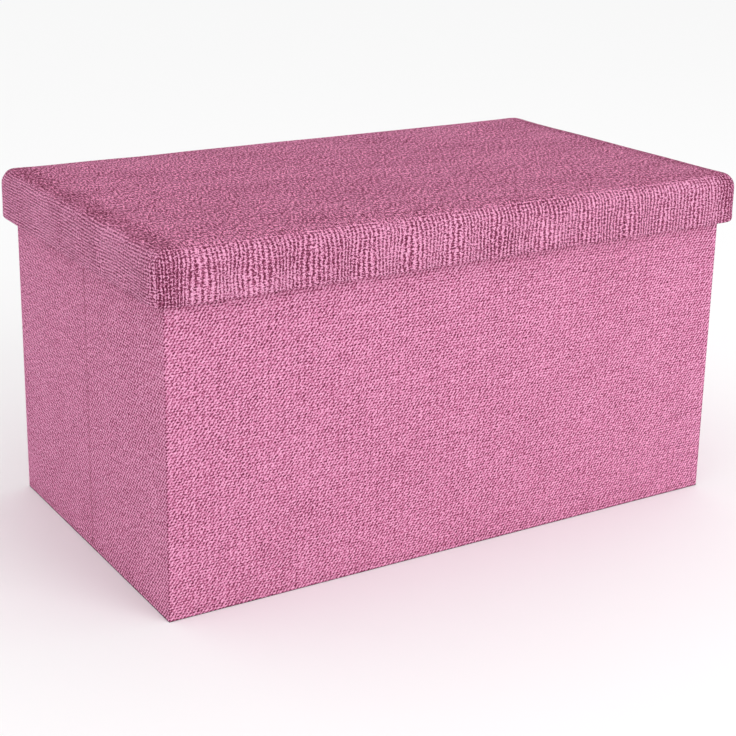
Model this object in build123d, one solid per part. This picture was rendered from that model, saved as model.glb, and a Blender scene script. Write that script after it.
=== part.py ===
"""Folding storage bench: a lift-off padded lid over a linen-covered box whose short sides fold inwards.

Millimetres. Origin at the centre of the footprint on the floor, +X along the bench, -Y at the front, +Z up.
"""

import os

from build123d import *

# Driving dimensions
LENGTH = 760.0  # lid, along X
DEPTH = 440.0  # lid, along Y
HEIGHT = 400.0
LID_BOTTOM = 341.0
OVERHANG = 18.0  # from the lid's linen to the wall's linen, on every side

LINEN = 1.0  # cover cloth of the walls
LINING = 1.0  # non-woven cloth inside the walls
WALL_BOARD = 6.0
WALL = LINEN + WALL_BOARD + LINING
HEM = 24.0  # linen turned in over the top edge of a wall
FOOT_HEM = 3.0  # linen turned in under the bottom edge of a wall

BOTTOM_CLOTH = 0.6
BASE_BOARD = 2.4
BASE_WRAP = 0.3
BASE_CLEARANCE = 2.0  # from the base to the wall's inner face
BASE_FOOT = 0.8
TAB_THICK = 0.4  # flat ribbon, so that the walls fold over it
WELT_TOP = 4.8
WALL_FOOT = 5.0
WALL_TOP = 369.7

LID_LINEN = 1.2
LID_SIDE_FOAM = 4.0
LID_RIM_BOARD = 9.0
LID_LINING = 0.8
LID_TOP_BOARD = 6.0
LID_TOP_FOAM = 22.0
LID_TRAY_CORNER_R = 12.0
LID_CORNER_R = 20.0
LID_TOP_EDGE_R = 15.0
LID_BOTTOM_EDGE_R = 4.8

# Fabric hinges: a stitched bead on each folding line
CORNER_BEAD_R = 0.5
CREASE_BEAD_R = 0.3
CORNER_PIVOT_INSET = 0.3  # from the side wall's inner face to the corner pivot
CORNER_PIVOT_GAP = 0.6  # from the front wall's inner face to the corner pivot, and on to the side wall's end
CREASE_PIVOT_OUT = 0.15  # from the side wall's outer face to the crease pivot
CREASE_GAP = 0.4  # from the crease to each half wall's end

# Derived sizes
BODY_X = LENGTH / 2 - OVERHANG  # half sizes of the box
BODY_Y = DEPTH / 2 - OVERHANG
INNER_X = BODY_X - WALL
INNER_Y = BODY_Y - WALL
PIVOT_X = INNER_X - CORNER_PIVOT_INSET
PIVOT_Y = INNER_Y - CORNER_PIVOT_GAP
CREASE_X = BODY_X + CREASE_PIVOT_OUT
HALF_WALL = PIVOT_Y - CORNER_PIVOT_GAP - CREASE_GAP
TOP_BOARD_Z = HEIGHT - LID_LINEN - LID_TOP_FOAM - LID_TOP_BOARD
RIM_OUT_X = LENGTH / 2 - LID_LINEN - LID_SIDE_FOAM
RIM_OUT_Y = DEPTH / 2 - LID_LINEN - LID_SIDE_FOAM
RIM_IN_X = RIM_OUT_X - LID_RIM_BOARD
RIM_IN_Y = RIM_OUT_Y - LID_RIM_BOARD
RIM_FOOT = LID_BOTTOM + LID_LINEN


def block(x0, x1, y0, y1, z0, z1):
    """A box between those faces."""
    corner = Align.MIN
    return Pos(x0, y0, z0) * Box(x1 - x0, y1 - y0, z1 - z0, align=(corner, corner, corner))


def centred(half_x, half_y, z0, z1):
    """A box about the Z axis."""
    return block(-half_x, half_x, -half_y, half_y, z0, z1)


def wall(name, length, place):
    """One wall: a board in a linen sleeve with a lining panel, made with its outer face on the XZ plane."""
    top_of_lining = WALL_TOP - HEM
    board = block(LINEN, length - LINEN, LINEN, LINEN + WALL_BOARD, WALL_FOOT + LINEN, WALL_TOP - LINEN)
    lining = block(
        LINEN, length - LINEN, WALL - LINING, WALL, WALL_FOOT + FOOT_HEM, top_of_lining
    )
    sleeve = block(0, length, 0, WALL, WALL_FOOT, WALL_TOP) - board - lining
    return {
        name + "_board": place * board,
        name + "_linen": place * sleeve,
        name + "_lining": place * lining,
    }


def walls():
    """The six walls of the box. Each short side is two halves that meet at the crease."""
    side_start = PIVOT_Y - CORNER_PIVOT_GAP
    made = {}
    made |= wall("front", 2 * BODY_X, Location((-BODY_X, -BODY_Y, 0)))
    made |= wall("back", 2 * BODY_X, Location((BODY_X, BODY_Y, 0), (0, 0, 180)))
    made |= wall("left_front", HALF_WALL, Location((-BODY_X, -CREASE_GAP, 0), (0, 0, -90)))
    made |= wall("left_rear", HALF_WALL, Location((-BODY_X, side_start, 0), (0, 0, -90)))
    made |= wall("right_front", HALF_WALL, Location((BODY_X, -side_start, 0), (0, 0, 90)))
    made |= wall("right_rear", HALF_WALL, Location((BODY_X, CREASE_GAP, 0), (0, 0, 90)))
    return made


def bead(x, y, radius):
    """A stitched bead of cloth, upright on a folding line."""
    height = WALL_TOP - WALL_FOOT
    return Pos(x, y, WALL_FOOT) * Cylinder(radius, height, align=(Align.CENTER, Align.CENTER, Align.MIN))


def hinge_beads():
    """The six folding lines: four inside corners and two outside creases."""
    made = {}
    for side, sign in (("left", -1), ("right", 1)):
        made[f"hinge_seam_front_{side}"] = bead(sign * PIVOT_X, -PIVOT_Y, CORNER_BEAD_R)
        made[f"hinge_seam_rear_{side}"] = bead(sign * PIVOT_X, PIVOT_Y, CORNER_BEAD_R)
        made[f"crease_seam_{side}"] = bead(sign * CREASE_X, 0, CREASE_BEAD_R)
    return made


def bottom():
    """The sewn bottom cloth, and the welt around its edge that the walls stand on."""
    cloth = centred(BODY_X, BODY_Y, 0, BOTTOM_CLOTH)
    ring = centred(BODY_X, BODY_Y, BOTTOM_CLOTH, WELT_TOP) - centred(INNER_X, INNER_Y, 0, WALL_FOOT)
    under_front = block(-BODY_X, BODY_X, -BODY_Y, -INNER_Y, BOTTOM_CLOTH, WALL_FOOT)
    return {"bottom_cloth": cloth, "bottom_welt": ring + under_front}


def base_panel():
    """The loose base board in its cloth wrap, with a flat ribbon tab to lift it out."""
    half_x = INNER_X - BASE_CLEARANCE
    half_y = INNER_Y - BASE_CLEARANCE
    top = BASE_FOOT + BASE_BOARD + 2 * BASE_WRAP
    corner_r = 5.0
    wrapped = centred(half_x, half_y, BASE_FOOT, top)
    wrapped = fillet(wrapped.edges().filter_by(Axis.Z), corner_r)
    board = centred(half_x - BASE_WRAP, half_y - BASE_WRAP, BASE_FOOT + BASE_WRAP, top - BASE_WRAP)
    board = fillet(board.edges().filter_by(Axis.Z), corner_r - BASE_WRAP)
    tab_width = 22.0
    tab_reach = 58.0
    tab = block(half_x - 30.0 - tab_reach, half_x - 30.0, -tab_width / 2, tab_width / 2, top, top + TAB_THICK)
    tab = fillet(tab.faces().sort_by(Axis.X)[0].edges().filter_by(Axis.Z), tab_width / 2 - 0.5)
    return {"base_board": board, "base_wrap": wrapped - board, "base_pull_tab": tab}


def lid_boards():
    """The tray of the lid: a top board on four rim boards, with eased corners."""
    made = {"lid_top_board": centred(RIM_OUT_X, RIM_OUT_Y, TOP_BOARD_Z, TOP_BOARD_Z + LID_TOP_BOARD)}
    for end, sign in (("front", -1), ("back", 1)):
        low, high = sorted((sign * RIM_OUT_Y, sign * RIM_IN_Y))
        made["lid_rim_" + end] = block(-RIM_OUT_X, RIM_OUT_X, low, high, RIM_FOOT, TOP_BOARD_Z)
    for end, sign in (("left", -1), ("right", 1)):
        low, high = sorted((sign * RIM_OUT_X, sign * RIM_IN_X))
        made["lid_rim_" + end] = block(low, high, -RIM_IN_Y, RIM_IN_Y, RIM_FOOT, TOP_BOARD_Z)
    outline = centred(RIM_OUT_X, RIM_OUT_Y, 0, HEIGHT)
    outline = fillet(outline.edges().filter_by(Axis.Z), LID_TRAY_CORNER_R)
    return {node: board & outline for node, board in made.items()}


def rounded_cap(inset):
    """The outside of the lid, brought in by that much on every side."""
    cap = centred(LENGTH / 2 - inset, DEPTH / 2 - inset, LID_BOTTOM + inset, HEIGHT - inset)
    cap = fillet(cap.edges().filter_by(Axis.Z), LID_CORNER_R - inset)
    cap = fillet(cap.faces().sort_by(Axis.Z)[-1].edges(), LID_TOP_EDGE_R - inset)
    return fillet(cap.faces().sort_by(Axis.Z)[0].edges(), LID_BOTTOM_EDGE_R - inset)


def lid_soft():
    """Foam on the top and sides of the lid, its linen cover, and the lining of its underside."""
    foam_z = TOP_BOARD_Z + LID_TOP_BOARD
    padding = rounded_cap(LID_LINEN)
    mouth = centred(RIM_IN_X, RIM_IN_Y, LID_BOTTOM - 1, foam_z)
    made = {
        "lid_linen": rounded_cap(0) - padding - mouth,
        "lid_top_foam": padding & centred(LENGTH, DEPTH, foam_z, HEIGHT),
        "lid_lining": centred(RIM_IN_X, RIM_IN_Y, RIM_FOOT, TOP_BOARD_Z)
        - centred(RIM_IN_X - LID_LINING, RIM_IN_Y - LID_LINING, RIM_FOOT - 1, TOP_BOARD_Z - LID_LINING),
    }
    for end, sign in (("front", -1), ("back", 1)):
        low, high = sorted((sign * RIM_OUT_Y, sign * DEPTH))
        made["lid_side_foam_" + end] = padding & block(-LENGTH, LENGTH, low, high, 0, foam_z)
    for end, sign in (("left", -1), ("right", 1)):
        low, high = sorted((sign * RIM_OUT_X, sign * LENGTH))
        made["lid_side_foam_" + end] = padding & block(low, high, -RIM_OUT_Y, RIM_OUT_Y, 0, foam_z)
    return made


def staple():
    """One upholstery staple, its crown along X, its legs pointing along +Y from the XZ plane."""
    crown = 10.0
    wire = 0.7
    leg = 5.0
    outside = block(-crown / 2, crown / 2, -wire, leg, -wire / 2, wire / 2)
    return outside - block(-crown / 2 + wire, crown / 2 - wire, 0, leg, -wire / 2, wire / 2)


def lid_staples():
    """Staples along the lining's edge, inside the rim of the lid."""
    z = RIM_FOOT + 9.0
    spacing = 60.0
    along_x = 5  # staples each side of the middle on a long rim
    along_y = 3
    face_x = RIM_IN_X - LID_LINING
    face_y = RIM_IN_Y - LID_LINING
    made = []
    for i in range(-along_x, along_x + 1):
        made.append(Location((i * spacing, face_y, z)) * staple())
        made.append(Location((i * spacing, -face_y, z), (0, 0, 180)) * staple())
    for i in range(-along_y, along_y + 1):
        made.append(Location((face_x, i * spacing, z), (0, 0, -90)) * staple())
        made.append(Location((-face_x, i * spacing, z), (0, 0, 90)) * staple())
    return made


def lid():
    """Every piece of the lid, with the staples driven through the lining into the rims."""
    made = lid_boards() | lid_soft()
    staples = lid_staples()
    for node in ("lid_lining", "lid_rim_front", "lid_rim_back", "lid_rim_left", "lid_rim_right"):
        made[node] = made[node] - staples
    made["lid_staples"] = Compound(children=staples)
    return made


os.makedirs("parts", exist_ok=True)
parts = walls() | hinge_beads() | bottom() | base_panel() | lid()
for node, shape in parts.items():
    export_step(shape, f"parts/{node}.step")
print(len(parts), "nodes; front left pivot", -PIVOT_X, -PIVOT_Y, "crease", -CREASE_X)
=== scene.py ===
"""Looks of the folding storage bench: linen on flat folding walls, and a padded lift-off lid. Metres."""

import math

import bmesh
import bpy
import numpy as np
from mathutils import Matrix, Vector


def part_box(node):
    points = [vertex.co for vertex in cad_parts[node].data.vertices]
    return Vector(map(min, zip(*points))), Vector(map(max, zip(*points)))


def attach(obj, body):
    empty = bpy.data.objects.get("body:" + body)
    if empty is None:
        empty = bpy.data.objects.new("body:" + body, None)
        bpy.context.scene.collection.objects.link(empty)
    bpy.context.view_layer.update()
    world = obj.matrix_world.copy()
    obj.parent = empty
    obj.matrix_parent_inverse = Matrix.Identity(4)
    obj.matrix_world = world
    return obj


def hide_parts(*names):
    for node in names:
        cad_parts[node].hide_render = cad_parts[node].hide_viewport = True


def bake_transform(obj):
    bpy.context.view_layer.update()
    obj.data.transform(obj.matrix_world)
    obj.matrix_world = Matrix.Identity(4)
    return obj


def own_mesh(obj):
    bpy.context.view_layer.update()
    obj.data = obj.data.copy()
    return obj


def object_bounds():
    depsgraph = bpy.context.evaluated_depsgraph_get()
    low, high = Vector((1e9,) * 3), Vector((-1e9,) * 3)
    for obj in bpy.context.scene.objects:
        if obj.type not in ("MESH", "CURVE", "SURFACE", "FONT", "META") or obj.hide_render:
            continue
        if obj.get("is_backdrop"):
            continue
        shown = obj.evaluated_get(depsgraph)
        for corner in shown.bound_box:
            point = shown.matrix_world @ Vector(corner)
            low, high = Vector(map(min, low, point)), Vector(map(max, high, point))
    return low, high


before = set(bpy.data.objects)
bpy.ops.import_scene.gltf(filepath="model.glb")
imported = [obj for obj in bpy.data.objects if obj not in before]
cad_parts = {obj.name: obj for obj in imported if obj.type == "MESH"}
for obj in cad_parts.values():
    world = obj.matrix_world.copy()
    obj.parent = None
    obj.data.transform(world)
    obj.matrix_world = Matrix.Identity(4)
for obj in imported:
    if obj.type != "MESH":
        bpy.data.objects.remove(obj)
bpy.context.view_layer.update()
MM = 0.001

# ---------------------------------------------------------------- meshes


def vec(values):
    return np.array(values, float)


class Fabric:
    """Vertices, faces and flat cloth coordinates of one piece while it is made."""

    def __init__(self):
        self.points, self.faces, self.flat = [], [], []

    def grid(self, points, flat):
        """A sheet of quads from points[i, j], with the place of each on the flat cloth."""
        rows, cols = points.shape[:2]
        first = len(self.points)
        self.points.extend(points.reshape(-1, 3).tolist())
        for i in range(rows - 1):
            for j in range(cols - 1):
                corners = ((i, j), (i, j + 1), (i + 1, j + 1), (i + 1, j))
                self.faces.append([first + r * cols + c for r, c in corners])
                self.flat.append([tuple(flat[r, c]) for r, c in corners])

    def piece(self, name, material, merge=1e-6):
        """The finished mesh object, smooth shaded, with its faces pointing outwards."""
        mesh = bpy.data.meshes.new(name)
        mesh.from_pydata(self.points, [], self.faces)
        layer = mesh.uv_layers.new(name="flat")
        layer.data.foreach_set("uv", np.array(self.flat, np.float32).ravel())
        work = bmesh.new()
        work.from_mesh(mesh)
        bmesh.ops.remove_doubles(work, verts=work.verts, dist=merge)
        bmesh.ops.recalc_face_normals(work, faces=work.faces)
        work.to_mesh(mesh)
        work.free()
        mesh.polygons.foreach_set("use_smooth", [True] * len(mesh.polygons))
        mesh.materials.append(material)
        made = bpy.data.objects.new(name, mesh)
        bpy.context.scene.collection.objects.link(made)
        return made


def ripple(x, y, pitch, seed):
    """A smooth repeatable unevenness, from -1 to 1, with humps about that far apart."""
    rng = np.random.default_rng(seed)
    total = np.zeros_like(x)
    waves = 7
    for _ in range(waves):
        angle, phase = rng.uniform(0, 2 * math.pi, 2)
        scale = 2 * math.pi / (pitch * rng.uniform(0.6, 1.6))
        total += np.sin(scale * (x * math.cos(angle) + y * math.sin(angle)) + phase)
    return total / waves * 1.6


def smooth_step(x, low, high):
    t = np.clip((x - low) / (high - low), 0, 1)
    return t * t * (3 - 2 * t)


def get_points(mesh):
    data = np.empty(len(mesh.vertices) * 3, np.float32)
    mesh.vertices.foreach_get("co", data)
    return data.reshape(-1, 3).astype(float)


def set_points(mesh, points):
    mesh.vertices.foreach_set("co", points.astype(np.float32).ravel())
    mesh.update()


# ---------------------------------------------------------------- materials


class Nodes:
    """Short names for building one material's node tree."""

    def __init__(self, name):
        self.material = bpy.data.materials.new(name)
        self.material.use_nodes = True
        self.tree = self.material.node_tree
        self.shader = self.tree.nodes["Principled BSDF"]

    def add(self, kind, **values):
        node = self.tree.nodes.new(kind)
        for key, value in values.items():
            setattr(node, key, value)
        return node

    def put(self, value, socket):
        if isinstance(value, bpy.types.NodeSocket):
            self.tree.links.new(value, socket)
        elif value is not None:
            socket.default_value = value

    def math(self, operation, a, b=None, c=None, clamp=False):
        node = self.add("ShaderNodeMath", operation=operation, use_clamp=clamp)
        for value, socket in zip((a, b, c), node.inputs):
            self.put(value, socket)
        return node.outputs[0]

    def plus(self, *terms):
        total = terms[0]
        for term in terms[1:]:
            total = self.math("ADD", total, term)
        return total

    def times(self, a, b):
        return self.math("MULTIPLY", a, b)

    def wave(self, phase):
        """Cosine of that many turns."""
        return self.math("COSINE", self.times(phase, 2 * math.pi))

    def noise(self, vector, scale, detail=2.0, roughness=0.5):
        node = self.add("ShaderNodeTexNoise")
        self.put(vector, node.inputs["Vector"])
        node.inputs["Scale"].default_value = scale
        node.inputs["Detail"].default_value = detail
        node.inputs["Roughness"].default_value = roughness
        return self.math("SUBTRACT", node.outputs["Fac"], 0.5)

    def ramp(self, value, stops):
        node = self.add("ShaderNodeValToRGB")
        self.put(value, node.inputs["Fac"])
        elements = node.color_ramp.elements
        while len(elements) < len(stops):
            elements.new(0.5)
        for element, (place, colour) in zip(elements, stops):
            element.position = place
            element.color = (*colour, 1)
        return node.outputs["Color"]

    def mix(self, share, a, b, kind="MIX"):
        node = self.add("ShaderNodeMix", data_type="RGBA", blend_type=kind)
        self.put(share, node.inputs["Factor"])
        self.put(a if isinstance(a, bpy.types.NodeSocket) else (*a, 1), node.inputs["A"])
        self.put(b if isinstance(b, bpy.types.NodeSocket) else (*b, 1), node.inputs["B"])
        return node.outputs["Result"]

    def flat_mm(self, layer="flat"):
        """The place on the flat cloth, in millimetres: (u, v, vector)."""
        place = self.add("ShaderNodeUVMap", uv_map=layer).outputs["UV"]
        scaled = self.add("ShaderNodeVectorMath", operation="SCALE")
        self.put(place, scaled.inputs[0])
        scaled.inputs["Scale"].default_value = 1000.0
        split = self.add("ShaderNodeSeparateXYZ")
        self.put(scaled.outputs[0], split.inputs[0])
        return split.outputs["X"], split.outputs["Y"], scaled.outputs[0]

    def combine(self, x, y, z=0.0):
        node = self.add("ShaderNodeCombineXYZ")
        for value, socket in zip((x, y, z), node.inputs):
            self.put(value, socket)
        return node.outputs[0]

    def bump(self, height, distance, strength=1.0):
        node = self.add("ShaderNodeBump")
        self.put(height, node.inputs["Height"])
        node.inputs["Distance"].default_value = distance
        node.inputs["Strength"].default_value = strength
        self.put(node.outputs["Normal"], self.shader.inputs["Normal"])

    def finish(self, colour, roughness, sheen=0.0, metallic=0.0, specular=0.2):
        self.put(colour, self.shader.inputs["Base Color"])
        self.put(roughness, self.shader.inputs["Roughness"])
        self.shader.inputs["Metallic"].default_value = metallic
        self.shader.inputs["Sheen Weight"].default_value = sheen
        self.shader.inputs["Sheen Roughness"].default_value = 0.5
        self.shader.inputs["Specular IOR Level"].default_value = 0.5 if metallic else specular
        return self.material


# In the cloths, u and v are millimetres on the flat cloth, and each n.times(pattern, amount) sets how
# strongly that pattern shows.
ROW_MM, COLUMN_MM = 3.03, 8.3  # the wall linen's rows of beads, and the columns they make
DOT_MM = 2.6  # the grid of pressed dots in the lining, measured as u + v
YARN_MM, END_YARN_MM = 5.15, 3.3  # the lid linen's thick yarns, and how close they lie on its ends
# The ramp turns the weave's height into colour: partly the yarns' own colour, partly painted shade in
# the gaps and painted light on the bead tops.
PINK_SHADE_TO_LIGHT = [
    (0.02, (0.150, 0.024, 0.060)),  # the gaps between yarns, in painted shade
    (0.34, (0.400, 0.096, 0.192)),
    (0.60, (0.690, 0.225, 0.405)),
    (1.0, (0.980, 0.450, 0.680)),  # the tops of the beads, in painted highlight
]


def wall_linen():
    """A firm linen weave: beads in 3 mm rows, in columns, with a diagonal that climbs to the right."""
    n = Nodes("wall_linen")
    u, v, place = n.flat_mm()
    from_crease = n.math("ABSOLUTE", n.math("SUBTRACT", n.math("ABSOLUTE", u), CREASE_U))
    from_corner = n.math("ABSOLUTE", n.math("SUBTRACT", from_crease, CREASE_TO_CORNER))
    # Painted shade: a darker line down the crease of each side wall, broken into dashes by a noise along
    # its height.
    crease_shade_breaks = n.math("MULTIPLY_ADD", n.noise(n.combine(0.0, v), 0.11, 3.0), 3.0, 0.6, clamp=True)
    crease = n.times(n.math("MULTIPLY_ADD", from_crease, -1 / 0.9, 1.5, clamp=True), crease_shade_breaks)
    u = n.plus(u, n.times(n.noise(place, 0.035, 2.0), 5.0), n.times(n.noise(place, 0.22, 1.0), 3.2))
    drift = n.times(n.noise(n.combine(v, u), 0.045, 2.0), 2.6)
    v = n.plus(v, drift, n.times(n.noise(place, 0.27, 1.0), 2.0))
    rows = n.wave(n.times(v, 1 / ROW_MM))
    notches = n.math("MULTIPLY_ADD", rows, -0.35, 0.5)
    corner = n.times(n.math("MULTIPLY_ADD", from_corner, -1 / 0.8, 1.7, clamp=True), notches)
    columns = n.wave(n.times(u, 1 / COLUMN_MM))
    twill = n.wave(n.plus(n.times(u, 0.224), n.times(v, -0.168)))
    beads = n.noise(place, 0.36, 1.0, 0.6)
    grain = n.noise(place, 0.62, 1.0, 0.6)
    fibres = n.noise(place, 1.6, 3.0, 0.7)
    slubs = n.noise(n.combine(n.times(u, 0.3), v), 0.14, 3.0, 0.6)
    pattern = n.plus(n.times(rows, 0.19), n.times(columns, 0.055), n.times(twill, 0.31))
    rough = n.plus(n.times(beads, 1.3), n.times(grain, 1.6), n.times(fibres, 0.8), n.times(slubs, 0.4))
    height = n.plus(pattern, rough)
    mottle = n.noise(place, 0.012, 3.0, 0.6)
    # the crease term lays painted shade along the side walls' creases
    marks = n.plus(n.times(mottle, 0.16), n.times(crease, -0.26), n.times(corner, -0.34))
    tone = n.plus(height, marks, 0.56)
    # the weave's height becomes colour here, as painted shade in its hollows and painted light on its
    # beads
    colour = n.ramp(tone, PINK_SHADE_TO_LIGHT)
    n.bump(height, 0.0009, 0.8)
    return n.finish(colour, n.plus(0.9, n.times(fibres, 0.2)), specular=0.06)


def lid_linen():
    """The same cloth, looser: thick beaded yarns along Y, opened up where it is pulled down the sides.

    over_u and over_v say how far past the lid's edge a place is, along each way of the cloth.
    """
    n = Nodes("lid_linen")
    u, v, place = n.flat_mm()
    over_u = n.math("SUBTRACT", n.math("ABSOLUTE", u), LID_EDGE_U)
    over_v = n.math("SUBTRACT", n.math("ABSOLUTE", v), LID_EDGE_V)
    side = n.math("MULTIPLY_ADD", n.math("MAXIMUM", over_u, over_v), 1 / 12.0, 0.4, clamp=True)
    end = n.math("MULTIPLY_ADD", over_u, 1 / 8.0, 0.2, clamp=True)
    # Painted shade: rim less side gives a darker band on the top along its left and right ends, fading
    # out where the cloth curves over the edge.
    rim = n.math("MULTIPLY_ADD", over_u, 1 / 16.0, 1.9, clamp=True)
    shade = n.times(n.math("SUBTRACT", rim, side), -0.26)
    on_end = n.times(n.math("SIGN", u), n.math("MAXIMUM", over_u, 0.0))
    closer = n.times(on_end, 1 / END_YARN_MM - 1 / YARN_MM)
    u = n.plus(u, n.times(n.noise(n.combine(u, n.times(v, 0.35)), 0.028, 2.0), 13.0))
    u = n.plus(u, n.times(n.noise(place, 0.20, 1.0), 3.4))
    v = n.plus(v, n.times(n.noise(n.combine(v, u), 0.20, 1.0), 3.4))
    column = n.plus(n.times(u, 1 / YARN_MM), closer)
    warp = n.wave(column)
    knots = n.wave(n.plus(n.times(v, 1 / 2.9), n.times(n.math("FLOOR", column), 0.5)))
    weft = n.wave(n.times(v, 1 / 4.4))
    beads = n.noise(place, 0.40, 1.0, 0.6)
    grain = n.noise(place, 0.68, 1.0, 0.6)
    fibres = n.noise(place, 1.5, 3.0, 0.7)
    crepe = n.noise(n.combine(u, n.times(v, 0.38)), 0.56, 2.0, 0.75)
    slubs = n.noise(n.combine(u, n.times(v, 0.22)), 0.17, 3.0, 0.6)
    yarns = n.plus(n.times(warp, 0.34), n.times(knots, 0.16), n.times(weft, 0.10))
    yarns = n.times(yarns, n.math("MULTIPLY_ADD", side, 0.72, 0.28))
    yarns = n.times(yarns, n.math("MULTIPLY_ADD", end, -0.12, 1.0))
    rough = n.plus(n.times(beads, 1.8), n.times(grain, 2.7), n.times(fibres, 0.8))
    top_grain = n.times(n.times(crepe, 6.3), n.math("MULTIPLY_ADD", side, -1.0, 1.0))
    height = n.plus(yarns, rough, top_grain, n.times(slubs, 0.35))
    # Painted light and shade: a light and a dark line along the front and back edges of the top, where
    # the cloth turns over the foam, carried into the tone as well as the bump.
    from_edge = n.math("ABSOLUTE", n.math("SUBTRACT", over_v, 0.5))
    along_edge = n.math("MULTIPLY_ADD", from_edge, -1 / 4.0, 1.4, clamp=True)
    patches = n.math("MULTIPLY_ADD", n.noise(n.combine(u, 0.0), 0.018, 2.0), 5.0, 0.5, clamp=True)
    ridge = n.wave(n.times(n.math("SUBTRACT", over_v, 1.5), 1 / 5.0))
    edge_line = n.times(n.times(along_edge, patches), ridge)
    height = n.plus(height, n.times(edge_line, 0.34))
    streaks = n.noise(n.combine(n.times(u, 0.3), v), 0.024, 4.0, 0.65)
    mottle = n.noise(place, 0.010, 3.0, 0.6)
    # Painted light and shade: lift lightens the lid's ends and darkens its front, for how bright each
    # face looks under the key light.
    front = n.math("MULTIPLY_ADD", over_v, 1 / 8.0, 0.2, clamp=True)
    lift = n.plus(n.times(end, 0.07), n.times(front, -0.20))
    tone = n.plus(n.times(height, 1.22), n.times(mottle, 0.2), n.times(streaks, 0.75), shade, lift, 0.46)
    # the weave's height becomes colour here, as painted shade in its hollows and painted light on its
    # beads
    colour = n.ramp(tone, PINK_SHADE_TO_LIGHT)
    # Painted light: the top alone is tinted redder and less green, for the colour it takes under the
    # light at a grazing view.
    colour = n.mix(n.math("SUBTRACT", 1.0, side), colour, (1.07, 0.92, 0.975), "MULTIPLY")
    n.bump(height, 0.0011, 0.8)
    return n.finish(colour, n.plus(0.92, n.times(fibres, 0.2)), specular=0.06)


def non_woven(name, shade):
    """Spun-bonded lining cloth with its grid of pressed dots."""
    n = Nodes(name)
    u, v, place = n.flat_mm()
    across = n.wave(n.times(n.plus(u, v), 1 / DOT_MM))
    dots = n.times(across, n.wave(n.times(n.math("SUBTRACT", u, v), 1 / DOT_MM)))
    hairs = n.noise(n.combine(n.times(u, 0.2), v), 1.4, 4.0, 0.7)
    clouds = n.noise(place, 0.03, 3.0, 0.6)
    height = n.plus(n.times(dots, 0.22), n.times(hairs, 0.7))
    tone = n.plus(height, n.times(clouds, 0.5), 0.5)
    dark = tuple(c * 0.55 for c in shade)
    light = tuple(min(c * 1.7, 1) for c in shade)
    colour = n.ramp(tone, [(0.1, dark), (0.5, shade), (0.95, light)])
    n.bump(height, 0.0003, 0.6)
    return n.finish(colour, n.plus(0.9, n.times(hairs, 0.15)), sheen=0.1)


def ribbon_cloth():
    """Ribbed grosgrain ribbon."""
    n = Nodes("tab_ribbon")
    u, v, _ = n.flat_mm()
    ribs = n.wave(n.times(u, 1 / 0.9))
    thread = n.noise(n.combine(u, n.times(v, 6.0)), 0.8, 2.0)
    height = n.plus(n.times(ribs, 0.3), n.times(thread, 0.5))
    colour = n.ramp(n.plus(height, 0.5), [(0.1, (0.012, 0.012, 0.014)), (0.9, (0.075, 0.075, 0.08))])
    n.bump(height, 0.0002, 0.7)
    return n.finish(colour, n.plus(0.55, n.times(thread, 0.3)), sheen=0.1)


def thread_cloth(name, dark, light):
    """Twisted sewing thread."""
    n = Nodes(name)
    u, v, place = n.flat_mm()
    twist = n.wave(n.plus(n.times(u, 1 / 0.5), n.times(v, 1 / 0.8)))
    fuzz = n.noise(place, 3.0, 3.0, 0.6)
    height = n.plus(n.times(twist, 0.3), n.times(fuzz, 0.4))
    colour = n.ramp(n.plus(height, 0.5), [(0.1, dark), (0.9, light)])
    n.bump(height, 0.0002, 0.6)
    return n.finish(colour, n.plus(0.7, n.times(fuzz, 0.3)), sheen=0.1)


def fibreboard(name, shade):
    """Pressed wood fibre, with darker flecks."""
    n = Nodes(name)
    place = n.add("ShaderNodeTexCoord").outputs["Object"]
    clouds = n.noise(place, 22.0, 4.0, 0.6)
    flecks = n.noise(place, 900.0, 3.0, 0.7)
    tone = n.plus(n.times(clouds, 0.5), n.times(flecks, 0.6), 0.5)
    dark = tuple(c * 0.6 for c in shade)
    light = tuple(min(c * 1.35, 1) for c in shade)
    colour = n.ramp(tone, [(0.15, dark), (0.5, shade), (0.9, light)])
    n.bump(flecks, 0.0002, 0.5)
    return n.finish(colour, n.plus(0.8, n.times(flecks, 0.2)))


def staple_wire():
    """Galvanised wire with fine drawing marks."""
    n = Nodes("staple_steel")
    place = n.add("ShaderNodeTexCoord").outputs["Object"]
    marks = n.noise(place, 1500.0, 2.0)
    colour = n.ramp(n.plus(marks, 0.5), [(0.2, (0.45, 0.45, 0.46)), (0.8, (0.68, 0.68, 0.7))])
    n.bump(marks, 0.00005, 0.4)
    return n.finish(colour, n.plus(0.32, n.times(marks, 0.3)), metallic=1.0)


lid_low, lid_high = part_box("lid_linen")
LID_EDGE_U = (lid_high[0] - 0.010) / MM
LID_EDGE_V = (lid_high[1] - 0.010) / MM
CREASE_TO_CORNER = -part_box("front_linen")[0][1] / MM
CREASE_U = (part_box("front_linen")[1][0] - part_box("front_linen")[0][1]) / MM
WALL_LINEN = wall_linen()
LID_LINEN = lid_linen()
LINING = non_woven("lining_cloth", (0.042, 0.042, 0.045))
BOTTOM_LINING = non_woven("bottom_lining", (0.022, 0.022, 0.024))
RIBBON = ribbon_cloth()
SEAM = thread_cloth("seam_thread", (0.32, 0.085, 0.165), (0.85, 0.36, 0.55))
DARK_THREAD = thread_cloth("dark_thread", (0.01, 0.01, 0.012), (0.09, 0.09, 0.095))
BOARD = fibreboard("fibreboard", (0.36, 0.23, 0.12))
BASE_BOARD = fibreboard("base_fibreboard", (0.24, 0.14, 0.07))
STEEL = staple_wire()

# ---------------------------------------------------------------- walls

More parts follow.
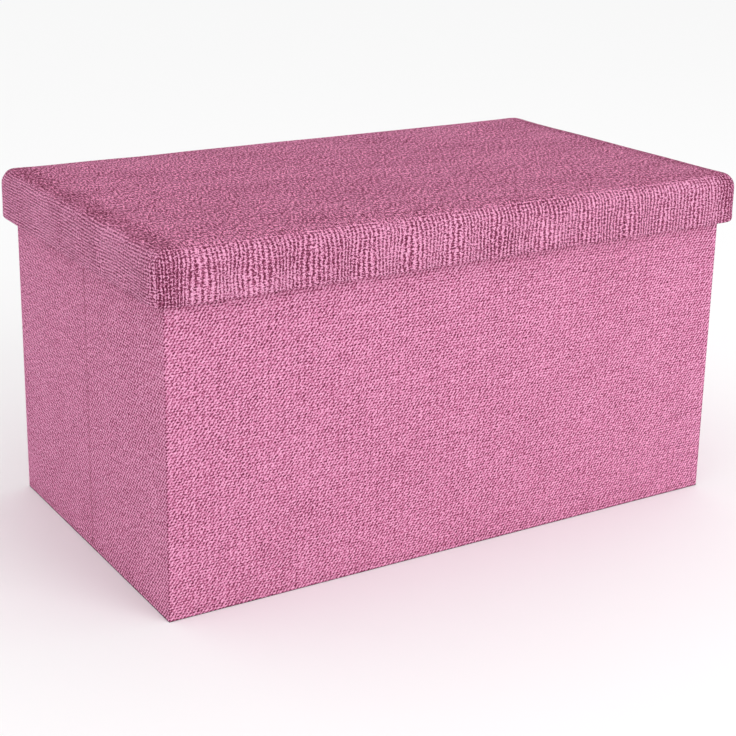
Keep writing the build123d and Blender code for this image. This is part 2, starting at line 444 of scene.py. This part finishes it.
wall_low, wall_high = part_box("front_linen")
THICK = wall_high[1] - wall_low[1]
FOOT, TOP = wall_low[2], wall_high[2]
HALF_X, HALF_Y = wall_high[0], -wall_low[1]
HEM_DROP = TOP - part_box("front_lining")[1][2]
EDGE = 1.5 * MM  # rounding of a covered edge
WRAP = 4.0 * MM  # how far a long wall's linen goes round its corner
SHORT = 7.9 * MM  # the same at the rear right corner, where the ring is open
CREASE_DIP = 0.22 * MM  # how far the linen is drawn in along a crease


def wall_profile():
    """Where the linen goes round a wall: (share of the thickness, height, length along the cloth)."""
    share = EDGE / THICK
    path = [(1.0, TOP - HEM_DROP * part) for part in (1, 0.66, 0.33)]
    path.append((1.0, TOP - EDGE))
    for angle in (30, 60, 90):
        a = math.radians(angle)
        path.append((1 - share * (1 - math.cos(a)), TOP - EDGE + EDGE * math.sin(a)))
    path.append((0.5, TOP))
    for angle in (90, 60, 30, 0):
        a = math.radians(angle)
        path.append((share * (1 - math.cos(a)), TOP - EDGE + EDGE * math.sin(a)))
    steps = 48
    for i in range(1, steps):
        path.append((0.0, TOP - EDGE + (FOOT + 0.3 * MM - TOP + EDGE) * i / steps))
    path += [(0.0, FOOT + 0.3 * MM), (0.04, FOOT), (0.5, FOOT), (0.96, FOOT)]
    path += [(1.0, FOOT + 0.4 * MM), (1.0, FOOT + 3 * MM)]
    path = vec(path)
    lengths = np.hypot(np.diff(path[:, 0]) * THICK, np.diff(path[:, 1]))
    run = np.concatenate([[0], np.cumsum(lengths)])
    outer = int(np.argmax(path[:, 0] < 1e-9))
    run = path[outer, 1] + run[outer] - run
    return path, run


PROFILE, RUN = wall_profile()


def spaced(start, end, step):
    count = max(2, int(round(abs(end - start) / step)))
    return np.linspace(start, end, count + 1)


def sleeve(fabric, outer, inner, along, rows=slice(None)):
    """Linen round a wall whose outside follows the plan points outer, and whose inside follows inner."""
    path, run = PROFILE[rows], RUN[rows]
    share = path[:, 0][None, :, None]
    plan = outer[:, None, :] * (1 - share) + inner[:, None, :] * share
    points = np.empty((len(outer), len(path), 3))
    points[..., :2] = plan
    points[..., 2] = path[:, 1][None, :]
    flat = np.empty((len(outer), len(path), 2))
    flat[..., 0] = along[:, None]
    flat[..., 1] = run[None, :]
    # the cloth lies a hair inside the wall's outline where the glue has drawn it down
    sunk = 0.10 * MM * (0.5 + 0.5 * ripple(flat[..., 0], flat[..., 1], 0.05, 3))
    direction = inner[:, None, :] - outer[:, None, :]
    size = np.linalg.norm(direction, axis=2, keepdims=True)
    outside = (path[:, 0] < 1e-9)[None, :, None]
    points[..., :2] += direction / np.maximum(size, 1e-9) * sunk[..., None] * outside
    fabric.grid(points, flat)


def long_wall(name, sign, turns):
    """The front (sign -1) or back (sign 1) wall's linen. turns is how far it goes round each end."""
    fabric = Fabric()
    x = spaced(-HALF_X + EDGE, HALF_X - EDGE, 8 * MM)
    outer = [(-HALF_X, turns[0]), (-HALF_X, EDGE)]
    inner = [(-HALF_X + 1 * MM, max(turns[0], THICK - 2 * MM)), (-HALF_X + 1 * MM, THICK)]
    along = [-HALF_X - turns[0], -HALF_X - EDGE]
    for angle in (30, 60):
        a = math.radians(angle)
        outer.append((-HALF_X + EDGE * (1 - math.cos(a)), EDGE * (1 - math.sin(a))))
        inner.append((-HALF_X + EDGE * (1 - math.cos(a)) + 1 * MM, THICK))
        along.append(-HALF_X - EDGE + 2 * EDGE * angle / 90)
    for value in x:
        outer.append((value, 0.0))
        inner.append((max(min(value, HALF_X - 2.4 * MM), -HALF_X + 2.4 * MM), THICK))
        along.append(value)
    for angle in (60, 30):
        a = math.radians(angle)
        outer.append((HALF_X - EDGE * (1 - math.cos(a)), EDGE * (1 - math.sin(a))))
        inner.append((HALF_X - EDGE * (1 - math.cos(a)) - 1 * MM, THICK))
        along.append(HALF_X + EDGE - 2 * EDGE * angle / 90)
    outer += [(HALF_X, EDGE), (HALF_X, turns[1])]
    inner += [(HALF_X - 1 * MM, THICK), (HALF_X - 1 * MM, max(turns[1], THICK - 2 * MM))]
    along += [HALF_X + EDGE, HALF_X + turns[1]]
    outer, inner, along = vec(outer), vec(inner), vec(along)
    for plan in (outer, inner):
        plan[:, 1] = sign * (HALF_Y - plan[:, 1])
    if sign > 0:
        along = -2 * (HALF_X + HALF_Y) - along
    sleeve(fabric, outer, inner, along)
    return fabric.piece(name, WALL_LINEN)


def half_wall(name, side, end, crease_y, hinge_y, skin_y):
    """Half of a short side. Its linen runs on past the hinge at hinge_y, to skin_y on the long wall."""
    fabric = Fabric()
    face, inside = side * HALF_X, side * (HALF_X - THICK)
    on_panel = spaced(hinge_y, crease_y, 8 * MM)
    near = np.linspace(0, 1, 6)[1:-1] * 3 * MM * np.sign(hinge_y - crease_y)
    on_panel = np.sort(np.concatenate([on_panel, crease_y + near]))
    dip = CREASE_DIP * (1 - smooth_step(np.abs(on_panel - crease_y), 0, 2 * MM))

    def place(y):
        return -(HALF_X + HALF_Y) - y if side < 0 else (HALF_X + HALF_Y) + y

    outer = np.stack([face - side * dip, on_panel], 1)
    step_back = np.sign(hinge_y - crease_y) * 0.4 * MM
    inner_y = on_panel + step_back * (np.abs(on_panel - crease_y) < 0.5 * MM)
    inner = np.stack([np.full_like(on_panel, inside), inner_y], 1)
    sleeve(fabric, outer, inner, place(on_panel))
    # the bridge over the hinge, and the skin of the long wall's end
    gap = np.linspace(hinge_y, end * (HALF_Y - THICK), 9)
    if abs(skin_y) > abs(gap[-1]):
        gap = np.concatenate([gap, spaced(gap[-1], skin_y, 2 * MM)[1:]])
    else:
        gap = np.linspace(hinge_y, skin_y, 4)
    outer = np.stack([np.full_like(gap, face), gap], 1)
    inner = np.stack([np.full_like(gap, face - side * 2 * EDGE), gap], 1)
    first = int(np.argmax(PROFILE[:, 1] >= TOP - 1e-9)) + 1
    last = len(PROFILE) - 4
    rows = slice(first + 1, last)
    sleeve(fabric, outer, inner, place(gap), rows)
    # closed ends of the panel
    for y in (hinge_y, crease_y + step_back):
        across = np.linspace(face - side * 0.2 * MM, inside, 4)
        heights = spaced(FOOT + 0.3 * MM, TOP - 0.3 * MM, 12 * MM)
        points = np.empty((len(across), len(heights), 3))
        points[..., 0], points[..., 1], points[..., 2] = across[:, None], y, heights[None, :]
        flat = np.empty((len(across), len(heights), 2))
        flat[..., 0] = place(y) + np.abs(across - face)[:, None]
        flat[..., 1] = heights[None, :]
        fabric.grid(points, flat)
    return fabric.piece(name, WALL_LINEN, merge=0.02 * MM)


def wall_lining(name, node, axis, face, inward):
    """A lining panel: cloth drawn in a little between the stitches along its edges."""
    low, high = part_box(node)
    other = 1 - axis
    a = spaced(low[axis], high[axis], 8 * MM)
    z = spaced(low[2] - 1.5 * MM, high[2] + 2 * MM, 8 * MM)
    points = np.empty((len(a), len(z), 3))
    grid_a, grid_z = np.meshgrid(a, z, indexing="ij")
    edge_a = np.minimum(grid_a - a[0], a[-1] - grid_a)
    edge = np.minimum(edge_a, np.minimum(grid_z - z[0], z[-1] - grid_z))
    pucker = 0.10 * np.cos(2 * math.pi * (grid_a + grid_z) / (6 * MM)) * np.exp(-edge / (8 * MM))
    depth = (0.18 + 0.12 * ripple(grid_a, grid_z, 0.09, sum(map(ord, name)))) + pucker
    points[..., axis], points[..., 2] = grid_a, grid_z
    points[..., other] = face - inward * np.clip(depth, 0.02, 0.6) * MM
    flat = np.stack([grid_a, grid_z], 2)
    fabric = Fabric()
    fabric.grid(points, flat)
    return fabric.piece(name, LINING)


def bead_row(name, x, y, low, high, radius, material):
    """A run of stitches: a cord of cloth with a waist at each stitch."""
    fabric = Fabric()
    z = spaced(low, high, 0.75 * MM)
    around = np.linspace(0, 2 * math.pi, 9)
    size = radius * (0.82 + 0.18 * np.cos(2 * math.pi * (z - low) / (4.5 * MM)))
    points = np.empty((len(z), len(around), 3))
    points[..., 0] = x + size[:, None] * np.cos(around)[None, :]
    points[..., 1] = y + size[:, None] * np.sin(around)[None, :]
    points[..., 2] = z[:, None]
    flat = np.empty((len(z), len(around), 2))
    flat[..., 0] = z[:, None]
    flat[..., 1] = radius * around[None, :]
    fabric.grid(points, flat)
    return fabric.piece(name, material)


front_skin = long_wall("front_linen_cover", -1, (WRAP, WRAP))
back_skin = long_wall("back_linen_cover", 1, (WRAP, SHORT))
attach(front_skin, "front_wall")
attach(back_skin, "back_wall")
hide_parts("front_linen")
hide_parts("back_linen")

left_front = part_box("left_front_linen")
HINGE = -left_front[0][1]
INNER_Y = HALF_Y - THICK
SKIN = HALF_Y - WRAP
for name, side, end, bodies in (
    ("left_front", -1, -1, ("front_wall", "left_front_half")),
    ("left_rear", -1, 1, ("back_wall", "left_rear_half")),
    ("right_front", 1, -1, ("front_wall", "right_front_half")),
    ("right_rear", 1, 1, (None, "right_rear_half")),
):
    open_corner = bodies[0] is None
    skin_to = end * (INNER_Y - 0.1 * MM) if open_corner else end * SKIN
    skin = half_wall(name + "_linen_cover", side, end, 0.0, end * HINGE, skin_to)
    if open_corner:
        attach(skin, bodies[1])
    else:
        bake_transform(skin)
    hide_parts(name + "_linen")

for name, body, axis, face, inward in (
    ("front", "front_wall", 0, -(HALF_Y - THICK), 1),
    ("back", "back_wall", 0, HALF_Y - THICK, -1),
    ("left_front", "left_front_half", 1, -(HALF_X - THICK), 1),
    ("left_rear", "left_rear_half", 1, -(HALF_X - THICK), 1),
    ("right_front", "right_front_half", 1, HALF_X - THICK, -1),
    ("right_rear", "right_rear_half", 1, HALF_X - THICK, -1),
):
    panel = wall_lining(name + "_lining_cloth", name + "_lining", axis, face, inward)
    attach(panel, body)
    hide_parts(name + "_lining")

for node, body, material in (
    ("hinge_seam_front_left", "front_wall", DARK_THREAD),
    ("hinge_seam_front_right", "front_wall", DARK_THREAD),
    ("hinge_seam_rear_left", "left_rear_half", DARK_THREAD),
    ("hinge_seam_rear_right", "back_wall", DARK_THREAD),
    ("crease_seam_left", "left_front_half", SEAM),
    ("crease_seam_right", "right_front_half", SEAM),
):
    low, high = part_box(node)
    radius = (high[0] - low[0]) / 2
    middle = [(a + b) / 2 for a, b in zip(low, high)]
    seam = bead_row(node + "_stitches", middle[0], middle[1], low[2], high[2], radius, material)
    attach(seam, body)
    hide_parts(node)

# ---------------------------------------------------------------- rounded shells


def shell_loops(a, b, nx, ny, profile, turn=2):
    """Loops round a rectangle of half sizes a and b, each (offset, height, corner radius, roundness).

    Gives the points and their flat places for each of the four sides, as arrays [side][loop, step].
    """
    profile = vec(profile)
    steps = np.hypot(np.diff(profile[:, 0]), np.diff(profile[:, 1]))
    reach = np.concatenate([[0], np.cumsum(steps)])
    sides = []
    for m, (count, half_long, half_wide) in enumerate(((nx, a, b), (ny, b, a)) * 2):
        i = np.arange(count + 1)
        points = np.empty((len(profile), count + 1, 3))
        flat = np.empty((len(profile), count + 1, 2))
        for row, (offset, height, radius, rounded) in enumerate(profile):
            long_half, wide_half = half_long + offset, half_wide + offset
            plain = -long_half + 2 * long_half * i / count
            run = long_half - radius
            t = np.clip((i - turn) / (count - 2 * turn), 0, 1) * 2 * run - run
            past = np.where(i > count - turn, (i - count + turn) / turn, 0.0)
            angle = np.where(i < turn, (i - turn) / turn, past)
            angle = angle * math.pi / 4
            x = t + radius * np.sin(angle)
            y = -(wide_half - radius) - radius * np.cos(angle)
            points[row, :, 0] = plain * (1 - rounded) + x * rounded
            points[row, :, 1] = -wide_half * (1 - rounded) + y * rounded
            points[row, :, 2] = height
            flat[row, :, 0] = plain * (1 - rounded) + (t + radius * angle) * rounded
            flat[row, :, 1] = -(half_wide + reach[row])
        for _ in range(m):
            for data in (points, flat):
                data[..., 0], data[..., 1] = -data[..., 1].copy(), data[..., 0].copy()
        sides.append((points, flat))
    return sides


def cap_grid(fabric, a, b, nx, ny, height, shift=0.0):
    x, y = np.meshgrid(np.linspace(-a, a, nx + 1), np.linspace(-b, b, ny + 1), indexing="ij")
    points = np.stack([x, y, np.full_like(x, height)], 2)
    fabric.grid(points, np.stack([x + shift, y], 2))


def arc(offset, height, radius, start, stop, count):
    """Points of a rounded edge about (offset, height), as (offset, height)."""
    return [
        (offset + radius * math.cos(math.radians(t)), height + radius * math.sin(math.radians(t)))
        for t in np.linspace(start, stop, count)
    ]


# ---------------------------------------------------------------- lid cover

CORE = 20 * MM  # from the lid's outline to the flat middle of the pad
SLACK = 1.6 * MM  # how far below the pad's full height the top starts, before the cloth is blown up
CORNER = 18.4 * MM  # plan radius of the lid's corners
GATHER = 58 * MM  # from one place where the cloth is drawn in under the rim to the next
LID_X, LID_Y = lid_high[0], lid_high[1]
LID_TOP, LID_FOOT = lid_high[2], lid_low[2]
tray_low, tray_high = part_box("lid_lining")
board_low, board_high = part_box("lid_top_board")
nx, ny = 92, 50


def lid_profile():
    """From the edge of the flat top, out, down the side, under the rim and up inside it."""
    out, top, foot = CORE, LID_TOP - SLACK, LID_FOOT
    round_top, round_foot = 15 * MM, 4 * MM
    path = [(0, top), (4 * MM, top)]
    path += arc(out - round_top, top - round_top, round_top, 90, 0, 6)
    path += [(out, z) for z in np.linspace(top - round_top, foot + round_foot, 8)[1:]]
    path += arc(out - round_foot, foot + round_foot, round_foot, 0, -90, 4)[1:]
    inner = tray_high[0] - (LID_X - CORE) - 0.15 * MM
    first_inner = len(path) + 1
    path += [((out - round_foot + inner) / 2, foot), (inner, foot + 0.3 * MM)]
    path += [(inner, z) for z in np.linspace(foot + 0.3 * MM, board_low[2] + 0.4 * MM, 5)[1:]]
    path += [(inner / 2, board_low[2] + 0.4 * MM), (0, board_low[2] + 0.4 * MM)]
    made = []
    for index, (offset, height) in enumerate(path):
        radius = CORNER * smooth_step(vec(offset), 0, out) if index < first_inner else 0.5 * MM
        made.append((offset, height, float(radius), float(smooth_step(vec(offset), 0, 12 * MM))))
    return made


profile = lid_profile()
core_x, core_y = LID_X - CORE, LID_Y - CORE
fabric = Fabric()
cap_grid(fabric, core_x, core_y, nx, ny, profile[0][1])
cap_grid(fabric, core_x, core_y, nx, ny, profile[-1][1], shift=2.0)
for points, flat in shell_loops(core_x, core_y, nx, ny, profile):
    fabric.grid(points, flat)
cover = fabric.piece("lid_cover", LID_LINEN, merge=0.01 * MM)


def inflate(piece, pinned, cap, pressure=4.0, frames=20):
    """Blows the closed cloth up a little, the way foam fills a cover, and caps how far a point moves."""
    start = get_points(piece.data)
    group = piece.vertex_groups.new(name="held")
    group.add([int(i) for i in np.nonzero(pinned)[0]], 1.0, "REPLACE")
    modifier = piece.modifiers.new("cloth", "CLOTH")
    cloth = modifier.settings
    cloth.quality = 4
    cloth.mass = 0.25
    cloth.use_pressure = True
    cloth.uniform_pressure_force = pressure
    cloth.vertex_group_mass = "held"
    cloth.effector_weights.gravity = 0
    cloth.tension_stiffness = 20
    cloth.compression_stiffness = 20
    cloth.shear_stiffness = 8
    cloth.bending_stiffness = 1.0
    scene = bpy.context.scene
    for number in range(1, frames + 1):
        scene.frame_set(number)
    ready = piece.evaluated_get(bpy.context.evaluated_depsgraph_get())
    moved = get_points(ready.to_mesh())
    ready.to_mesh_clear()
    piece.modifiers.remove(modifier)
    scene.frame_set(1)
    step = moved - start
    size = np.linalg.norm(step, axis=1, keepdims=True)
    step *= np.minimum(1, cap / np.maximum(size, 1e-9)) * (~pinned[:, None])
    set_points(piece.data, start + step)
    return float(size.max())


def subdivide(piece):
    """One level of smooth subdivision, made permanent."""
    modifier = piece.modifiers.new("smooth", "SUBSURF")
    modifier.levels = modifier.render_levels = 1
    ready = piece.evaluated_get(bpy.context.evaluated_depsgraph_get())
    mesh = bpy.data.meshes.new_from_object(ready)
    piece.modifiers.remove(modifier)
    piece.data = mesh


points = get_points(cover.data)
inside = (np.abs(points[:, 0]) < tray_high[0] + 1 * MM) & (np.abs(points[:, 1]) < tray_high[1] + 1 * MM)
held = (inside & (points[:, 2] < board_high[2])) | (points[:, 2] < LID_FOOT + 1 * MM)
print("lid cover moved", inflate(cover, held, 1.8 * MM))
subdivide(cover)

points = get_points(cover.data)
outside = np.maximum(np.abs(points[:, 0]) - (LID_X - 12 * MM), np.abs(points[:, 1]) - (LID_Y - 12 * MM))
on_side = smooth_step(outside, 0, 10 * MM)
on_top = (points[:, 2] > LID_TOP - 8 * MM) * (1 - on_side)
drop = np.clip((LID_TOP - points[:, 2]) / (LID_TOP - LID_FOOT), 0, 1)
long_side = np.abs(points[:, 1]) - LID_Y > np.abs(points[:, 0]) - LID_X
run = np.where(long_side, points[:, 0], points[:, 1])
pull = 0.5 + 0.5 * np.cos(2 * math.pi * run / GATHER + 0.8 * ripple(run, run * 0, 0.2, 11))
inward = np.where(long_side[:, None], [[0, 1]], [[1, 0]]) * -np.sign(points[:, :2])
drawn_in = 0.9 * MM * pull * smooth_step(drop, 0.35, 0.95)
depth = on_side * (drawn_in + 0.35 * MM * ripple(run, points[:, 2], 0.03, 5))
from_corner = np.hypot(LID_X - np.abs(points[:, 0]), LID_Y - np.abs(points[:, 1]))
depth *= smooth_step(from_corner, 14 * MM, 34 * MM)
points[:, :2] += inward * depth[:, None] * (points[:, 2] > LID_FOOT + 1.5 * MM)[:, None]
points[:, 2] += on_top * 0.45 * MM * ripple(points[:, 0], points[:, 1], 0.16, 8)
# the ridge where the cloth turns over the edge of the foam
ridge = np.exp(-(((outside - 2 * MM) / (2.6 * MM)) ** 2)) * (points[:, 2] > LID_TOP - 14 * MM)
points[:, 2] += 0.5 * MM * ridge * (0.7 + 0.3 * ripple(run, run * 0, 0.12, 21))
# a tuck at each corner, folded towards the long side
corner_x = LID_X - np.abs(points[:, 0])
corner_y = LID_Y - np.abs(points[:, 1])
tuck = np.exp(-(((corner_x - 5.5 * MM) / (1.6 * MM)) ** 2)) * (corner_y < 6 * MM)
tuck *= smooth_step(drop, 0.25, 0.9)
points[:, 1] -= np.sign(points[:, 1]) * 1.1 * MM * tuck
set_points(cover.data, points)

# the yarns bow between the gathers, so their places on the flat cloth are shifted there
uv = cover.data.uv_layers["flat"].data
flat = np.empty(len(uv) * 2, np.float32)
uv.foreach_get("uv", flat)
flat = flat.reshape(-1, 2).astype(float)
over_x = np.abs(flat[:, 0]) - LID_X + 8 * MM
over_y = np.abs(flat[:, 1]) - LID_Y + 8 * MM
side_x, side_y = smooth_step(over_x, 0, 45 * MM), smooth_step(over_y, 0, 45 * MM)
bow_x = np.sin(2 * math.pi * flat[:, 0] / GATHER + 0.8 * ripple(flat[:, 0], flat[:, 0] * 0, 0.2, 11))
bow_y = np.sin(2 * math.pi * flat[:, 1] / GATHER + 0.8 * ripple(flat[:, 1], flat[:, 1] * 0, 0.2, 11))
shift_x = side_y * 2.2 * MM * bow_x
shift_y = side_x * 2.6 * MM * bow_y
flat += np.stack([shift_x, shift_y], 1)
uv.foreach_set("uv", flat.astype(np.float32).ravel())
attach(cover, "lid")
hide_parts("lid_linen", "lid_top_foam", "lid_side_foam_front", "lid_side_foam_back")
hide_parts("lid_side_foam_left", "lid_side_foam_right")

# ---------------------------------------------------------------- lid lining

fabric = Fabric()
inner_x, inner_y = tray_high[0], tray_high[1]
pad = 12 * MM
skin_in = 0.75 * MM
profile = [(0, tray_high[2] - 0.5 * MM, 0, 0), (pad - 4 * MM, tray_high[2] - 0.5 * MM, 0, 0)]
for offset, height in arc(pad - skin_in - 2 * MM, tray_high[2] - 2.5 * MM, 2 * MM, 90, 0, 4):
    profile.append((offset, height, 1 * MM, 1))
for height in np.linspace(tray_high[2] - 2.5 * MM, tray_low[2] + 1.5 * MM, 6)[1:]:
    profile.append((pad - skin_in, height, 1 * MM, 1))
profile += [(pad - 0.3 * MM, tray_low[2] + 0.4 * MM, 1 * MM, 1)]
for sheet_points, sheet_flat in shell_loops(inner_x - pad, inner_y - pad, 90, 50, profile):
    fabric.grid(sheet_points, sheet_flat)
cap_grid(fabric, inner_x - pad, inner_y - pad, 90, 50, profile[0][1])
lid_lining = fabric.piece("lid_lining_cloth", LINING, merge=0.01 * MM)
points = get_points(lid_lining.data)
flat_part = points[:, 2] > tray_high[2] - 1 * MM
points[:, 2] += flat_part * 0.22 * MM * ripple(points[:, 0], points[:, 1], 0.08, 31)
set_points(lid_lining.data, points)
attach(lid_lining, "lid")
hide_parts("lid_lining")

# ---------------------------------------------------------------- bottom and loose base

cloth_low, cloth_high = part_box("bottom_cloth")
cloth_x, cloth_y = (spaced(cloth_low[k], cloth_high[k], 8 * MM) for k in (0, 1))
x, y = np.meshgrid(cloth_x, cloth_y, indexing="ij")
height = (cloth_low[2] + cloth_high[2]) / 2 + 0.16 * MM * ripple(x, y, 0.07, 41)
fabric = Fabric()
fabric.grid(np.stack([x, y, height], 2), np.stack([x, y], 2))
bottom = fabric.piece("bottom_sheet", BOTTOM_LINING)
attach(bottom, "front_wall")
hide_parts("bottom_cloth")

welt_top = FOOT - 0.1 * MM
deep = THICK
low_z = 0.05 * MM
welt_path = [(0.0, welt_top - 0.2 * MM), (0.0, 3.4 * MM), (0.0, 1.8 * MM), (-0.3 * MM, 0.6 * MM)]
welt_path += [(-1.2 * MM, low_z), (-deep / 2, low_z), (-deep + 0.6 * MM, low_z), (-deep, 0.8 * MM)]
welt_path += [(-deep, 3.0 * MM), (-deep, welt_top - 0.2 * MM), (-deep + 0.3 * MM, welt_top)]
welt_path += [(-deep / 2, welt_top), (-0.2 * MM, welt_top), (0.0, welt_top - 0.2 * MM)]
profile = [(deep + offset, z, EDGE, 1.0) for offset, z in welt_path]
fabric = Fabric()
for m, (side_points, side_flat) in enumerate(shell_loops(HALF_X - deep, HALF_Y - deep, 90, 50, profile)):
    flat = np.empty_like(side_flat)
    if m == 0:
        flat[..., 0] = side_points[..., 0]
    elif m == 1:
        flat[..., 0] = (HALF_X + HALF_Y) + side_points[..., 1]
    elif m == 2:
        flat[..., 0] = -2 * (HALF_X + HALF_Y) - side_points[..., 0]
    else:
        flat[..., 0] = -(HALF_X + HALF_Y) - side_points[..., 1]
    flat[..., 1] = side_points[..., 2]
    fabric.grid(side_points, flat)
welt = fabric.piece("bottom_welt_linen", WALL_LINEN, merge=0.01 * MM)
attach(welt, "front_wall")
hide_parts("bottom_welt")
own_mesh(bottom)
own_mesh(welt)

base_low, base_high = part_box("base_wrap")
pad = 12 * MM
edge_r = 0.45 * MM
plan_r = 0.8 * MM
profile = [(0, base_high[2], 0, 0), (pad / 2, base_high[2], 0.4 * MM, 0.5)]
for offset, z in arc(pad - edge_r, base_high[2] - edge_r, edge_r, 90, 0, 4):
    profile.append((offset, z, plan_r, 1))
for offset, z in arc(pad - edge_r, base_low[2] + edge_r, edge_r, 0, -90, 4):
    profile.append((offset, z, plan_r, 1))
profile += [(pad / 2, base_low[2], 0.4 * MM, 0.5), (0, base_low[2], 0, 0)]
fabric = Fabric()
wide, deep_y = base_high[0] - pad, base_high[1] - pad
cap_grid(fabric, wide, deep_y, 88, 48, base_high[2])
cap_grid(fabric, wide, deep_y, 88, 48, base_low[2], shift=2.0)
for side_points, side_flat in shell_loops(wide, deep_y, 88, 48, profile):
    fabric.grid(side_points, side_flat)
base = fabric.piece("base_wrap_cloth", LINING, merge=0.01 * MM)
points = get_points(base.data)
hem = np.minimum(base_high[0] - np.abs(points[:, 0]), base_high[1] - np.abs(points[:, 1]))
groove = np.exp(-(((hem - 9 * MM) / (1.5 * MM)) ** 2))
on_top = points[:, 2] > base_high[2] - 0.2 * MM
uneven = 1 + ripple(points[:, 0], points[:, 1], 0.05, 51)
points[:, 2] -= on_top * (0.12 * MM * groove + 0.05 * MM * uneven)
set_points(base.data, points)
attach(base, "base_panel")
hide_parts("base_wrap")

tab_low, tab_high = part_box("base_pull_tab")
length = tab_high[0] - tab_low[0]
along = spaced(0, length, 1 * MM)
width = tab_high[1]
rounded_end = np.sqrt(np.maximum(width**2 - (width - 1 * MM - along) ** 2, 0))
half = np.maximum(np.where(along < width - 1 * MM, rounded_end, width), 2 * MM)
top_z, low_z = tab_high[2], tab_low[2]
section = [(-1, 0), (-1, 0.6), (-0.96, 1), (-0.5, 1), (0, 1), (0.5, 1), (0.96, 1), (1, 0.6), (1, 0)]
points = np.empty((len(along), len(section), 3))
for j, (share, rise) in enumerate(section):
    points[:, j, 0] = tab_low[0] + along
    points[:, j, 1] = half * share
    points[:, j, 2] = low_z + (top_z - low_z) * rise * (0.9 + 0.1 * np.cos(along / length * 9))
fabric = Fabric()
fabric.grid(points, np.stack([points[..., 0], points[..., 1]], 2))
tab = fabric.piece("pull_tab_ribbon", RIBBON)
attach(tab, "base_panel")
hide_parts("base_pull_tab")

# ---------------------------------------------------------------- boards and staples

for node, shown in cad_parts.items():
    if shown.hide_render:
        continue
    if node == "lid_staples":
        material = STEEL
    elif node == "base_board":
        material = BASE_BOARD
    else:
        material = BOARD
    for index in range(len(shown.material_slots)):
        shown.material_slots[index].material = material

# ---------------------------------------------------------------- floor, light and camera


def floor():
    """A wide white floor under the bench."""
    fabric = Fabric()
    size = 30.0
    x, y = np.meshgrid(np.linspace(-size, size, 5), np.linspace(-size, size, 5), indexing="ij")
    fabric.grid(np.stack([x, y, np.zeros_like(x)], 2), np.stack([x, y], 2))
    n = Nodes("floor")
    n.shader.inputs["Base Color"].default_value = (0.93, 0.93, 0.93, 1)
    n.shader.inputs["Roughness"].default_value = 1.0
    n.shader.inputs["Specular IOR Level"].default_value = 0.0
    made = fabric.piece("studio_floor", n.material)
    made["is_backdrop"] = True


def softbox(name, place, target, size, watts):
    light = bpy.data.lights.new(name, "AREA")
    light.shape = "RECTANGLE"
    light.size, light.size_y = size
    light.energy = watts
    made = bpy.data.objects.new(name, light)
    made.location = place
    made.rotation_euler = (Vector(target) - Vector(place)).to_track_quat("-Z", "Y").to_euler()
    bpy.context.scene.collection.objects.link(made)


floor()
world = bpy.data.worlds.new("studio")
world.use_nodes = True
world.node_tree.nodes["Background"].inputs["Color"].default_value = (1, 1, 1, 1)
world.node_tree.nodes["Background"].inputs["Strength"].default_value = 1.0
bpy.context.scene.world = world
softbox("key", (1.0, -3.0, 1.8), (0, 0, 0.2), (1.8, 1.8), 34)
bpy.context.scene.view_settings.view_transform = "Standard"


def photo_camera():
    """The camera fitted to the corners and the outline of the bench in the photograph."""
    azimuth, elevation, roll = (math.radians(degrees) for degrees in (-31.163, 16.539, 0.735))
    distance = 2.1145
    target = Vector((0.0682, 0.1822, 0.190))
    flat = math.cos(elevation)
    back = Vector((math.sin(azimuth) * flat, -math.cos(azimuth) * flat, math.sin(elevation)))
    level = (-back).cross(Vector((0, 0, 1))).normalized()
    up = level.cross(-back)
    right = math.cos(roll) * level + math.sin(roll) * up
    rise = -math.sin(roll) * level + math.cos(roll) * up
    data = bpy.data.cameras.new("photo_camera")
    data.sensor_width = 36.0
    data.lens = 78.20
    data.shift_x, data.shift_y = 0.04, -0.10
    data.clip_start, data.clip_end = 0.05, 100
    made = bpy.data.objects.new("photo_camera", data)
    turn = Matrix((right, rise, back)).transposed().to_4x4()
    made.matrix_world = Matrix.Translation(target + back * distance) @ turn
    bpy.context.scene.collection.objects.link(made)
    bpy.context.scene.camera = made


photo_camera()
low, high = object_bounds()
